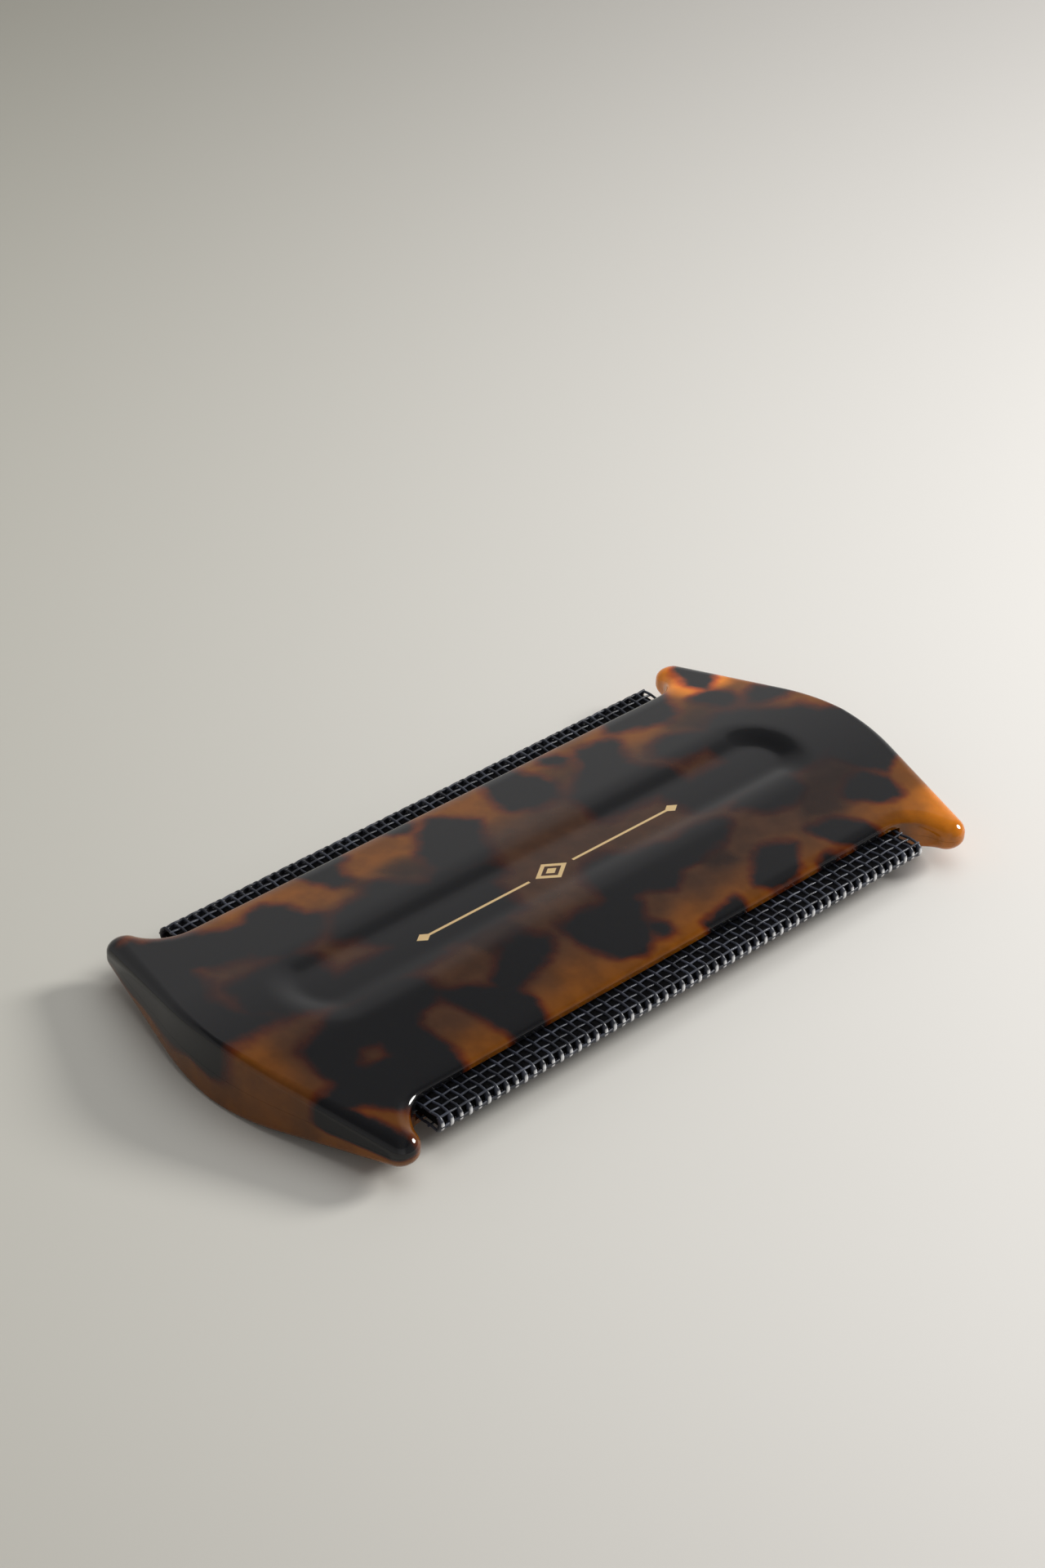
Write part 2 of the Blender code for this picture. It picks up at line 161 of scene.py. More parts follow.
class CombBody(bpy.types.PropertyGroup):
    """Sizes of the two shells, which share one outline"""

    length: length_of(COMB_LENGTH, "Length", "Over the two bowed ends")
    width: length_of(COMB_WIDTH, "Width", "Over the four horns")
    horn_reach: length_of(5.8 * MM, "Horn reach", "How far a horn stands out past the long edge")
    apex_radius: length_of(40.0 * MM, "Bow radius", "Round of the bow at the middle of an end")
    horn_radius: length_of(2.15 * MM, "Horn radius", "Round of each horn tip")
    notch_radius: length_of(4.8 * MM, "Notch radius", "Hollow between a horn and the long edge")
    half_thickness: length_of(HALF_THICKNESS, "Half thickness", "From the middle plane to the crest")
    crown_radius: length_of(70.0 * MM, "Crown radius", "Round of the crest across the body")
    crown_slope: number_of(radians(7.2), "Crown slope", "Slope of the flanks", subtype="ANGLE")
    end_slope: number_of(radians(13.7), "End slope", "Sweep of each straight end run", subtype="ANGLE")
    trough_run: length_of(36.2 * MM, "Trough run", "From the comb's middle to where the trough's end turns")
    trough_wall: length_of(4.3 * MM, "Trough wall", "From the trough's spine to its wall's steepest place")
    trough_foot: length_of(2.3 * MM, "Trough foot", "How far the hollow foot reaches in from there")
    trough_shoulder: length_of(4.0 * MM, "Trough shoulder", "How far the shoulder reaches out from there")
    trough_depth: length_of(0.72 * MM, "Trough depth", "From the full crown down to the trough's floor")
    trough_lean: number_of(0.25, "Trough lean", "Share by which the trough is deeper at its right end")
    trough_squeeze: number_of(1.15, "Trough squeeze", "How much steeper its ends are than its sides", min=1.0)
    hairline: length_of(0.02 * MM, "Joint", "Gap at the glued joint of the two shells")
    slot_height: length_of(1.35 * MM, "Slot height", "From the middle plane to the slot's roof at the edge")


class CombShellFinish(bpy.types.PropertyGroup):
    """Colours and polish of the tortoiseshell"""

    # Painted light: the brightest amber, reached only at the right-hand horns, stands in for light shining
    # through them
    backlit_horn_amber: color_of((0.96, 0.285, 0.012), "Horn amber", "Amber in the clearest horns")
    edge_amber: color_of((0.172, 0.052, 0.0016), "Edge amber", "Amber along the long edges")
    middle_amber: color_of((0.050, 0.0205, 0.0092), "Middle amber", "Amber over the thick middle")
    chip_rim: color_of((0.60, 0.33, 0.40), "Chip rim", "Tint of the amber round a dark chip")
    chip_core: color_of((0.006, 0.006, 0.007), "Chip core", "Colour of a dark chip")
    deep_chip: color_of((0.36, 0.36, 0.46), "Deep chip", "Tint of the amber over a deeper chip")
    foil: color_of((0.86, 0.62, 0.32), "Foil", "Gold foil of the rule in the trough")
    polish: factor_of(0.07, "Polish roughness", "Roughness of the polished face")
    glow: factor_of(0.08, "Glow", "How much light wanders under the surface")


class CombScreens(bpy.types.PropertyGroup):
    """Weave of the two folded screens"""

    pitch: length_of(1.41 * MM, "Pitch", "From one strand to the next")
    strand: length_of(0.34 * MM, "Hoop strand", "Diameter of a strand round the fold")
    row_strand: length_of(0.30 * MM, "Row strand", "Diameter of a strand along the comb")
    nose_strand: length_of(0.76 * MM, "Nose strand", "Diameter of a hoop where it turns round the nose")
    first_row: length_of(0.80 * MM, "First row", "From the lip to the first strand along the comb")
    overhang: length_of(0.25 * MM, "Cut ends", "How far the long strands pass the last hoop")
    reach: length_of(4.28 * MM, "Reach", "How far the fold stands out of the long edge")
    fold_radius: length_of(1.20 * MM, "Fold radius", "Outer radius of the fold")
    leaf_pinch: length_of(0.15 * MM, "Leaf pinch", "How much a leaf closes in from the fold to the edge")
    color: color_of((0.015, 0.0175, 0.026), "Black", "Colour of the coated strands")
    # Painted highlight: light grey painted round the hoops' nose, standing in for the glints there
    painted_glint: color_of((0.66, 0.66, 0.67), "Worn", "Colour where the coating is rubbed off the nose")
    sheen: factor_of(0.36, "Strand roughness", "Roughness of the coated strands")


class CombStudio(bpy.types.PropertyGroup):
    """Floor, lamps and camera"""

    # Painted light on the floor: lighter beside the window at the near right, painted shade towards the far
    # left and towards the far and near parts
    floor_painted_shade: color_of((0.478, 0.466, 0.408), "Floor, far left", "Floor colour away from the window")
    floor_window_lit: color_of((0.90, 0.88, 0.86), "Floor, near right", "Floor colour beside the window")
    floor_far_shade: color_of((0.555, 0.55, 0.54), "Floor, far tint", "Tint of the floor far from the camera")
    floor_near_shade: color_of((0.82, 0.805, 0.79), "Floor, near tint", "Tint of the floor close to the camera")
    window_power: number_of(6.6, "Window", "Power of the window lamp in watts", min=0.0)
    fill_power: number_of(6.6, "Fill", "Power of the wide soft lamp in watts", min=0.0)
    room: number_of(0.52, "Room light", "Strength of the pale room", min=0.0)
    lens: number_of(78.42, "Lens", "Focal length in millimetres on a 36 mm frame", min=1.0)


# Outline and section of the shells


def smooth_step(value, low, high):
    share = np.clip((value - low) / (high - low), 0.0, 1.0)
    return share * share * (3.0 - 2.0 * share)


def long_edge(body):
    return body.width / 2 - body.horn_reach


def crown_height(body, y):
    """Height of the crowned face from the middle plane, at a distance y from the centre line."""
    y = np.abs(y)
    round_y = body.crown_radius * sin(body.crown_slope)
    arc = body.crown_radius - np.sqrt(body.crown_radius ** 2 - np.minimum(y, round_y) ** 2)
    return body.half_thickness - arc - np.maximum(y - round_y, 0.0) * tan(body.crown_slope)


def face_height(body, x, y):
    """Crowned face with the thumb trough pressed into it: a hollow foot, then a long round shoulder."""
    end = np.maximum(np.abs(x) - body.trough_run, 0.0) * body.trough_squeeze
    distance = np.hypot(end, y) - body.trough_wall
    reach = np.where(distance < 0.0, body.trough_foot, body.trough_shoulder)
    turn = np.clip(distance / reach, -1.0, 1.0)
    climb = reach * (turn / 2 + np.sin(pi * turn) / (2 * pi))
    share = (body.trough_shoulder / 2 - climb) / ((body.trough_foot + body.trough_shoulder) / 2)
    depth = body.trough_depth * (1.0 + body.trough_lean * np.clip(x / body.trough_run, -1.0, 1.0))
    return crown_height(body, y) - depth * share


def horn_centre(body):
    run_x = body.length / 2 - body.apex_radius * (1 - cos(body.end_slope))
    run_y = body.apex_radius * sin(body.end_slope)
    y = body.width / 2 - body.horn_radius
    x = run_x - (body.horn_radius + (y - run_y) * sin(body.end_slope)) / cos(body.end_slope)
    return x, y


def notch_centre(body):
    horn_x, horn_y = horn_centre(body)
    y = long_edge(body) + body.notch_radius
    reach = body.horn_radius + body.notch_radius
    return horn_x - sqrt(reach ** 2 - (horn_y - y) ** 2), y


def mix(a, b, share):
    return tuple(p + (q - p) * share for p, q in zip(a, b))


APEX_ROUND = (0.70 * MM, 0.60 * MM)  # width and fall of the rounded edge at the middle of an end
HORN_ROUND = (2.00 * MM, 1.50 * MM)
EDGE_ROUND = (1.90 * MM, 0.50 * MM)
APEX_STEPS = 26
RUN_STEPS = 42
HORN_STEPS = 14
NOTCH_STEPS = 16
LONG_STEP = 0.40 * MM
CROWN_STEP = 0.42 * MM
TROUGH_STEP = 0.28 * MM
ROUND_STEPS = 9
WALL_STEPS = 7
SLOT_END = 1.60 * MM  # how far the slot runs on into the notch
SLOT_STEPS = 5
SLOT_EASE = 1.01  # the notch's last station lies just before the slot's first
SCREEN_LAP = 1.30 * MM  # how far a screen runs on past the start of the notch
SLOT_DEPTH = 6.2 * MM
SLOT_RAMP = 2.8 * MM
SLOT_ROOF = 1.15 * MM


def end_outline(body):
    """Outline from the apex of the +X end to the +Y long edge: x, y, outward normal, edge round, slot."""
    horn_x, horn_y = horn_centre(body)
    notch_x, notch_y = notch_centre(body)
    slope = body.end_slope
    apex_x = body.length / 2 - body.apex_radius
    run_start = (apex_x + body.apex_radius * cos(slope), body.apex_radius * sin(slope))
    run_end = (horn_x + body.horn_radius * cos(slope), horn_y + body.horn_radius * sin(slope))
    points = []

    def end_round(y):
        return mix(APEX_ROUND, HORN_ROUND, y / run_end[1])

    for step in range(APEX_STEPS):
        angle = slope * step / APEX_STEPS
        x, y = apex_x + body.apex_radius * cos(angle), body.apex_radius * sin(angle)
        points.append((x, y, (cos(angle), sin(angle)), end_round(y), False))
    for step in range(RUN_STEPS):
        x, y = mix(run_start, run_end, step / RUN_STEPS)
        points.append((x, y, (cos(slope), sin(slope)), end_round(y), False))
    join = atan2(notch_y - horn_y, notch_x - horn_x) % (2 * pi)
    for start, stop in ((slope, pi / 2), (pi / 2, join)):
        for step in range(HORN_STEPS):
            angle = start + (stop - start) * step / HORN_STEPS
            normal = (cos(angle), sin(angle))
            points.append((horn_x + body.horn_radius * normal[0], horn_y + body.horn_radius * normal[1],
                           normal, HORN_ROUND, False))
    full = join - pi / 2
    slot_turn = asin(SLOT_END / body.notch_radius)
    before_slot = slot_turn * SLOT_EASE
    turns = [(full + (before_slot - full) * step / NOTCH_STEPS, False) for step in range(NOTCH_STEPS + 1)]
    turns += [(slot_turn * (1 - step / SLOT_STEPS), True) for step in range(SLOT_STEPS + 1)]
    for turn, slot in turns:
        normal = (-sin(turn), cos(turn))
        x, y = notch_x - body.notch_radius * normal[0], notch_y - body.notch_radius * normal[1]
        points.append((x, y, normal, mix(EDGE_ROUND, HORN_ROUND, (turn / full) ** 2), slot))
    return points


def side_outline(body):
    """Outline of the whole +Y side, from the apex of the +X end to the apex of the -X end."""
    end = end_outline(body)
    half = end[-1][0]
    count = round(2 * half / LONG_STEP)
    edge = [(half - 2 * half * step / count, long_edge(body), (0.0, 1.0), EDGE_ROUND, True)
            for step in range(1, count)]
    mirrored = [(-x, y, (-normal[0], normal[1]), around, slot)
                for x, y, normal, around, slot in reversed(end)]
    return end + edge + mirrored


def crown_lines(body):
    """Distances from the centre line at which the crowned face has a row of points."""
    shoulder = body.trough_wall + body.trough_shoulder
    stops = [(0.0, shoulder, TROUGH_STEP), (shoulder, body.width / 2, CROWN_STEP)]
    lines = []
    for start, stop, step in stops:
        count = max(1, round((stop - start) / step))
        lines += [start + (stop - start) * index / count for index in range(count)]
    return np.array([-y for y in reversed(lines[1:])] + lines)


def shell_rings(body):
    """Closed rings of points over the upper half of the body, one at each station of the outline."""
    lines = crown_lines(body)
    edge = long_edge(body)
    roof = body.slot_height
    joint = body.hairline / 2
    inner = [(edge - SLOT_DEPTH, joint), (edge - SLOT_DEPTH, SLOT_ROOF), (edge - SLOT_RAMP, SLOT_ROOF)]
    rings = []
    for x, y, normal, (round_width, round_fall), slot in side_outline(body):
        bottom = [(x, min(py, y), pz if slot else joint) for py, pz in inner]
        foot = roof if slot else joint
        shoulder = float(crown_height(body, y)) - round_fall
        wall = [(x, y, foot + (shoulder - foot) * step / WALL_STEPS) for step in range(WALL_STEPS)]
        bend = []
        for step in range(ROUND_STEPS + 1):
            angle = pi / 2 * step / ROUND_STEPS
            inset = round_width * (1 - cos(angle))
            at_x, at_y = x - inset * normal[0], y - inset * normal[1]
            fall = round_fall * (1 - sin(angle))
            bend.append((at_x, at_y, float(face_height(body, at_x, at_y)) - fall))
        side = np.array([(x, 0.0, joint)] + bottom + wall + bend)
        top_x, top_y = bend[-1][:2]
        across = np.clip(lines, -top_y, top_y)
        crown = np.stack([np.full(len(lines), top_x), across, face_height(body, top_x, across)], axis=1)
        far = side * (1.0, -1.0, 1.0)
        rings.append(np.concatenate([far, crown, side[::-1]]))
    return np.array(rings)


# Tortoiseshell pattern

# Millimetres here, as in the tables of chips
CHIP_FLOW = 0.7  # over which near chips flow into each other
DEEP_FLOW = 1.0
CHIP_GROWTH = 0.35  # by which every dark chip is grown
FAR_OUTSIDE = -9.0  # a chip field's value away from every chip
UNDER_SHIFT = 3.5  # by which the underside's mirrored chips are shifted
BROAD_WANDER = 0.36
SMALL_WANDER = 0.17
CHIP_REFLECTION_HAZE = 0.38  # share by which a painted reflection haze over the middle dulls the dark chips
WAVES = 6
WAVE_RATIO = 0.75  # length of each wave to the one before
WAVE_FADE = 0.8  # height of each wave to the one before


def wander(points, seed, size):
    """Smooth wandering offset in millimetres, made of a few crossed waves."""
    rng = np.random.default_rng(seed)
    total = np.zeros(len(points))
    for octave in range(WAVES):
        turn = rng.uniform(0.0, 2 * pi)
        start = rng.uniform(0.0, 2 * pi)
        wave = size * (WAVE_RATIO ** octave)
        along = points[:, 0] * cos(turn) + points[:, 1] * sin(turn)
        total += np.sin(along * 2 * pi / wave + start) * (WAVE_FADE ** octave)
    return total / (WAVES / 2)


def chip_depth(points, outline):
    """How deep each point lies inside one chip's outline, in millimetres, and negative outside."""
    nearest = np.full(len(points), np.inf)
    inside = np.zeros(len(points), bool)
    x, y = points[:, 0], points[:, 1]
    for (x0, y0), (x1, y1) in zip(outline, outline[1:] + outline[:1]):
        run_x, run_y = x1 - x0, y1 - y0
        share = ((x - x0) * run_x + (y - y0) * run_y) / (run_x ** 2 + run_y ** 2)
        share = np.clip(share, 0.0, 1.0)
        nearest = np.minimum(nearest, np.hypot(x - x0 - run_x * share, y - y0 - run_y * share))
        crosses = (y0 > y) != (y1 > y)
        if y0 != y1:
            inside ^= crosses & (x < x0 + run_x * (y - y0) / run_y)
    return np.where(inside, nearest, -nearest)


def chip_field(points, chips, blend):
    """Depth inside the nearest of several chips, with near chips flowing into each other."""
    field = np.full(len(points), FAR_OUTSIDE)
    for outline in chips:
        depth = chip_depth(points, outline)
        share = np.clip(0.5 + 0.5 * (depth - field) / blend, 0.0, 1.0)
        field = field + (depth - field) * share + blend * share * (1.0 - share)
    return field


def both_faces(plan, under, turned, chips, flow):
    """Depth in the chips of the upper face, turning into those of the underside below the middle."""
    upper = chip_field(plan, chips, flow)
    return upper + (chip_field(under, chips, flow) - upper) * turned


def vertex_places(mesh):
    places = np.empty(len(mesh.vertices) * 3)
    mesh.vertices.foreach_get("co", places)
    return places.reshape(-1, 3)


def paint_pattern(obj):
    """Stores how deep each point lies in the dark and deep chips, and how clear the amber is there: clearer
    where the resin runs out to the edges and ends, and clearer still at the right end, its horns and the far
    side as painted light shining through.
    """
    places = vertex_places(obj.data) / MM
    height = places[:, 2] - MIDDLE_Z / MM
    plan = places[:, :2].copy()
    broad = np.stack([wander(plan, 11, 7.0), wander(plan, 12, 6.0)], axis=1)
    small = np.stack([wander(plan, 13, 2.9), wander(plan, 14, 2.6)], axis=1)
    plan += BROAD_WANDER * broad + SMALL_WANDER * small
    under = np.stack([-plan[:, 0] + UNDER_SHIFT, plan[:, 1]], axis=1)
    turned = smooth_step(height, 0.6, -2.4)
    along, across = places[:, 0], places[:, 1]
    dark = both_faces(plan, under, turned, LEFT_CHIPS + MIDDLE_CHIPS + RIGHT_CHIPS, CHIP_FLOW) + CHIP_GROWTH
    # Painted reflection: the dark chips are dulled across the middle of the face, where a haze of reflected
    # light lies
    reflection_haze = smooth_step(across, -13.0, -5.0) * (1.0 - 0.5 * smooth_step(across, 9.0, 15.0))
    dark *= 1.0 - CHIP_REFLECTION_HAZE * reflection_haze
    deep = both_faces(plan, under, turned, DEEP_CHIPS, DEEP_FLOW)
    # Partly painted light: the far side, the right end and its horns are made clearer than the near side and
    # left end, standing in for light shining through from the right
    edges = smooth_step(across, 7.0, 16.5) + 0.72 * smooth_step(-across, 11.5, 19.5)
    ends = smooth_step(along, 42.0, 51.0) + 0.62 * smooth_step(-along, 44.0, 52.0)
    horns = 1.2 * smooth_step(across, 12.0, 19.5) + 0.52 * smooth_step(-across, 10.0, 20.0)
    horns = horns * smooth_step(along, 37.5, 43.5)
    horns *= 1.0 - 0.45 * smooth_step(along, 45.8, 49.0) * smooth_step(across, 9.0, 15.0)
    thin_and_lit = 1.0 - (1.0 - edges) * (1.0 - ends) + horns
    for name, values in (("dark_chip", dark), ("deep_chip", deep), ("thin_and_lit", thin_and_lit)):
        attribute = obj.data.attributes.new(name, "FLOAT", "POINT")
        attribute.data.foreach_set("value", values.astype(np.float32))


# Node helpers


def new_material(name):
    material = bpy.data.materials.new(name)
    material.use_nodes = True
    material.node_tree.nodes.clear()
    return material, material.node_tree


def add_node(tree, kind, **settings):
    node = tree.nodes.new(kind)
    for name, value in settings.items():
        setattr(node, name, value)
    return node


def feed(tree, value, socket):
    """Links an output to a socket, or sets the socket to a number, a direction or a colour."""
    if isinstance(value, bpy.types.NodeSocket):
        tree.links.new(value, socket)
    elif socket.type == "RGBA":
        socket.default_value = (*value, 1.0)
    else:
        socket.default_value = value


def add_math(tree, operation, *values):
    node = add_node(tree, "ShaderNodeMath", operation=operation)
    for socket, value in zip(node.inputs, values):
        feed(tree, value, socket)
    return node.outputs[0]


def add_mix(tree, factor, first, second, blend="MIX"):
    node = add_node(tree, "ShaderNodeMix", data_type="RGBA", blend_type=blend)
    for index, value in ((0, factor), (6, first), (7, second)):
        feed(tree, value, node.inputs[index])
    return node.outputs[2]


def add_tint(tree, color, tint):
    return add_mix(tree, 1.0, color, tint, "MULTIPLY")


def add_attribute(tree, name):
    return add_node(tree, "ShaderNodeAttribute", attribute_name=name).outputs["Fac"]


def object_place(tree):
    return add_node(tree, "ShaderNodeTexCoord").outputs["Object"]


def add_axes(tree, vector):
    """The three parts of a vector."""
    node = add_node(tree, "ShaderNodeSeparateXYZ")
    tree.links.new(vector, node.inputs[0])
    return tuple(node.outputs)


def add_noise(tree, place, scale, detail, roughness=0.5):
    node = add_node(tree, "ShaderNodeTexNoise")
    for name, value in (("Vector", place), ("Scale", scale), ("Detail", detail), ("Roughness", roughness)):
        feed(tree, value, node.inputs[name])
    return node.outputs["Fac"]


def add_range(tree, value, low, high, to_low=0.0, to_high=1.0, smooth=True):
    node = add_node(tree, "ShaderNodeMapRange", interpolation_type="SMOOTHSTEP" if smooth else "LINEAR")
    for socket, number in zip(node.inputs, (value, low, high, to_low, to_high)):
        feed(tree, number, socket)
    return node.outputs["Result"]


def add_ramp(tree, factor, stops):
    node = add_node(tree, "ShaderNodeValToRGB")
    elements = node.color_ramp.elements
    while len(elements) < len(stops):
        elements.new(0.5)
    for element, (position, color) in zip(elements, stops):
        element.position = position
        element.color = (*color, 1.0)
    tree.links.new(factor, node.inputs["Fac"])
    return node.outputs["Color"]


def add_bump(tree, height, strength, distance):
    node = add_node(tree, "ShaderNodeBump")
    for name, value in (("Height", height), ("Strength", strength), ("Distance", distance)):
        feed(tree, value, node.inputs[name])
    return node.outputs["Normal"]


def add_surface(tree, settings):
    """Principled surface with the given inputs, as the material's output."""
    shader = add_node(tree, "ShaderNodeBsdfPrincipled")
    for name, value in settings.items():
        feed(tree, value, shader.inputs[name])
    output = add_node(tree, "ShaderNodeOutputMaterial")
    tree.links.new(shader.outputs[0], output.inputs["Surface"])


# Materials

RULE_X = -0.8 * MM
RULE_Y = -0.75 * MM
RULE_HALF_LENGTH = 21.4 * MM
RULE_HALF_WIDTH = 0.17 * MM
RULE_GAP = 1.0 * MM  # bare resin between the lozenge and the rule
FOIL_SOFT = 0.03 * MM  # how far the foil's edge runs out
LOZENGE_HALF = (2.6 * MM, 1.70 * MM)
LOZENGE_RING = (0.34, 0.66)  # bare ring inside the middle lozenge, as shares of its size
END_LOZENGE = 0.42  # size of an end lozenge to the middle one
END_INSET = 0.8 * MM
RESIN_IOR = 1.46
RESIN_GLOW = (1.0, 0.35, 0.08)  # how far red, green and blue light wanders, as shares
RESIN_GLOW_REACH = 1.6 * MM
FOIL_METAL = 0.55
FOIL_ROUGHNESS = 0.34
COATING_IOR = 1.52


def add_below(tree, value, limit, soft):
    """Mask that is 1 where a value is below a limit, with a soft edge."""
    return add_range(tree, value, limit + soft, limit - soft)


def foil_rule(tree, place):
    """Mask of a thin gold rule with a lozenge at its middle and a small one at each end."""
    x, y, _ = add_axes(tree, place)
    x = add_math(tree, "ABSOLUTE", add_math(tree, "SUBTRACT", x, RULE_X))
    y = add_math(tree, "ABSOLUTE", add_math(tree, "SUBTRACT", y, RULE_Y))
    mask = add_math(tree, "MULTIPLY", add_below(tree, y, RULE_HALF_WIDTH, FOIL_SOFT),
                    add_below(tree, x, RULE_HALF_LENGTH, FOIL_SOFT))
    mask = add_math(tree, "MULTIPLY", mask, add_below(tree, x, LOZENGE_HALF[0] + RULE_GAP, -FOIL_SOFT))
    for centre, size in ((0.0, 1.0), (RULE_HALF_LENGTH - END_INSET, END_LOZENGE)):
        reach_x, reach_y = LOZENGE_HALF[0] * size, LOZENGE_HALF[1] * size
        off = add_math(tree, "ABSOLUTE", add_math(tree, "SUBTRACT", x, centre))
        off = add_math(tree, "DIVIDE", off, reach_x)
        lozenge = add_math(tree, "ADD", off, add_math(tree, "DIVIDE", y, reach_y))
        soft = FOIL_SOFT / reach_y
        outer = add_below(tree, lozenge, 1.0, soft)
        if size == 1.0:
            ring = add_math(tree, "MULTIPLY", outer, add_below(tree, lozenge, LOZENGE_RING[1], -soft))
            outer = add_math(tree, "MAXIMUM", ring, add_below(tree, lozenge, LOZENGE_RING[0], soft))
        mask = add_math(tree, "MAXIMUM", mask, outer)
    return mask


def resin_color(tree, finish, fine, broad, cloud):
    """Amber that clears towards the edges and horns, partly as real thinner resin and partly as painted light
    shining through at the right end and far side, under deep chips, rims and dark chips.
    """
    clouded = add_range(tree, cloud, 0.3, 0.7, -0.14, 0.14)
    thin_and_lit = add_math(tree, "ADD", add_attribute(tree, "thin_and_lit"), clouded)
    amber = add_mix(tree, add_range(tree, thin_and_lit, 0.0, 1.0), finish.middle_amber, finish.edge_amber)
    # Painted light: the brightest amber where the right-hand horns are lit through
    amber = add_mix(tree, add_range(tree, thin_and_lit, 1.0, 2.0), amber, finish.backlit_horn_amber)
    amber = add_tint(tree, amber, add_range(tree, broad, 0.32, 0.68, 0.82, 1.16))

    uneven = add_range(tree, broad, 0.3, 0.7, -0.5, 0.5)
    deep = add_math(tree, "ADD", add_attribute(tree, "deep_chip"), uneven)
    amber = add_mix(tree, add_range(tree, deep, -1.6, 1.0), amber, add_tint(tree, amber, finish.deep_chip))

    ragged = add_range(tree, broad, 0.25, 0.75, -0.22, 0.22, smooth=False)
    ragged = add_math(tree, "ADD", ragged, add_range(tree, fine, 0.25, 0.75, -0.07, 0.07, smooth=False))
    depth = add_math(tree, "ADD", add_attribute(tree, "dark_chip"), ragged)
    amber = add_mix(tree, add_range(tree, depth, -1.3, -0.2), amber, add_tint(tree, amber, finish.chip_rim))
    return add_mix(tree, add_range(tree, depth, -0.65, 0.55), amber, finish.chip_core)


def tortoiseshell(finish, name, with_rule):
    """Amber resin with dark chips near the face, softer ones below, and a high polish."""
    material, tree = new_material(name)
    place = object_place(tree)
    fine = add_noise(tree, place, 900.0, 2.0)
    broad = add_noise(tree, place, 260.0, 3.0, 0.55)
    cloud = add_noise(tree, place, 120.0, 2.0)
    settings = {
        "Base Color": resin_color(tree, finish, fine, broad, cloud),
        "Roughness": finish.polish,
        "IOR": RESIN_IOR,
        "Subsurface Weight": finish.glow,
        "Subsurface Radius": RESIN_GLOW,
        "Subsurface Scale": RESIN_GLOW_REACH,
        "Normal": add_bump(tree, broad, 0.35, 0.010 * MM),
    }
    if with_rule:
        mask = foil_rule(tree, place)
        settings["Base Color"] = add_mix(tree, mask, settings["Base Color"], finish.foil)
        settings["Metallic"] = add_range(tree, mask, 0.0, 1.0, 0.0, FOIL_METAL)
        settings["Roughness"] = add_range(tree, mask, 0.0, 1.0, finish.polish, FOIL_ROUGHNESS)
    add_surface(tree, settings)
    return material


def painted_glint_mask(tree, screens, place, edge):
    """Where the hoops get a painted highlight: their outermost skin, from the fold's shoulder round the nose.
    """
    _, y, z = add_axes(tree, place)
    outer = screens.fold_radius
    across = add_math(tree, "SUBTRACT", add_math(tree, "ABSOLUTE", y), edge + screens.reach - outer)
    height = add_math(tree, "SUBTRACT", z, MIDDLE_Z)
    square = add_math(tree, "ADD", add_math(tree, "MULTIPLY", across, across),
                      add_math(tree, "MULTIPLY", height, height))
    radius = add_math(tree, "SQRT", square)
    skin = add_range(tree, radius, outer - 0.26 * MM, outer - 0.06 * MM)
    shoulder = add_range(tree, across, 0.80 * outer, 0.95 * outer)
    back = add_range(tree, height, -0.95 * outer, -0.55 * outer)
    return add_math(tree, "MULTIPLY", add_math(tree, "MULTIPLY", skin, back), shoulder)


def screen_coating(screens, name, edge=None):
    """Black coated strands with a slight gloss; with an edge given, painted light grey round the nose as a
    painted highlight.
    """
    material, tree = new_material(name)
    place = object_place(tree)
    grain = add_noise(tree, place, 2600.0, 3.0)
    dust = add_noise(tree, place, 420.0, 2.0)
    dusty = tuple(channel * 2.8 + 0.012 for channel in screens.color)
    color = add_mix(tree, add_range(tree, dust, 0.40, 0.75), screens.color, dusty)
    if edge:
        # Painted highlight: light grey over the outer skin of each hoop's nose
        color = add_mix(tree, painted_glint_mask(tree, screens, place, edge), color, screens.painted_glint)
    add_surface(tree, {
        "Base Color": color,
        "Roughness": add_range(tree, grain, 0.3, 0.7, screens.sheen - 0.06, screens.sheen + 0.10),
        "IOR": COATING_IOR,
        "Normal": add_bump(tree, grain, 0.30, 0.02 * MM),
    })
    return material


def shade_sheet_material():
    """Matt black of a sheet inside the fold, painted shade."""
    material, tree = new_material("Dark inner shade")
    weave = add_noise(tree, object_place(tree), 3200.0, 2.0)
    color = add_mix(tree, add_range(tree, weave, 0.35, 0.65), (0.0015, 0.0015, 0.002), (0.005, 0.005, 0.006))
    add_surface(tree, {"Base Color": color, "Roughness": 0.9, "Specular IOR Level": 0.08})
    return material


# Modelling

MERGE_DISTANCE = 0.004 * MM
SLIVER_LENGTH = 0.002 * MM
SHELL_CREASE = radians(34)
STRAND_CREASE = radians(70)
CORE_GAP = 0.18 * MM  # from the weave to the dark sheet of painted shade
CORE_STEPS = 12
HOOP_STEP = 0.33 * MM
ROW_STEP = 0.35 * MM
HOOP_TAIL = 1.2 * MM  # how far a hoop runs on inside the slot
WEAVE_INSET = 0.04 * MM  # from the solid's outer face to the weave
WEAVE_SWAY = 0.17  # rise of a strand over the ones that it crosses, as a share of it
NOSE_RUN = (0.7 * MM, 1.7 * MM)  # how far round the nose a hoop is swollen, and where that ends


def deselect_all():
    if bpy.context.object and bpy.context.object.mode != "OBJECT":
        bpy.ops.object.mode_set(mode="OBJECT")
    bpy.ops.object.select_all(action="DESELECT")


def select_only(*objects):
    deselect_all()
    for obj in objects:
        obj.select_set(True)
    bpy.context.view_layer.objects.active = objects[0]


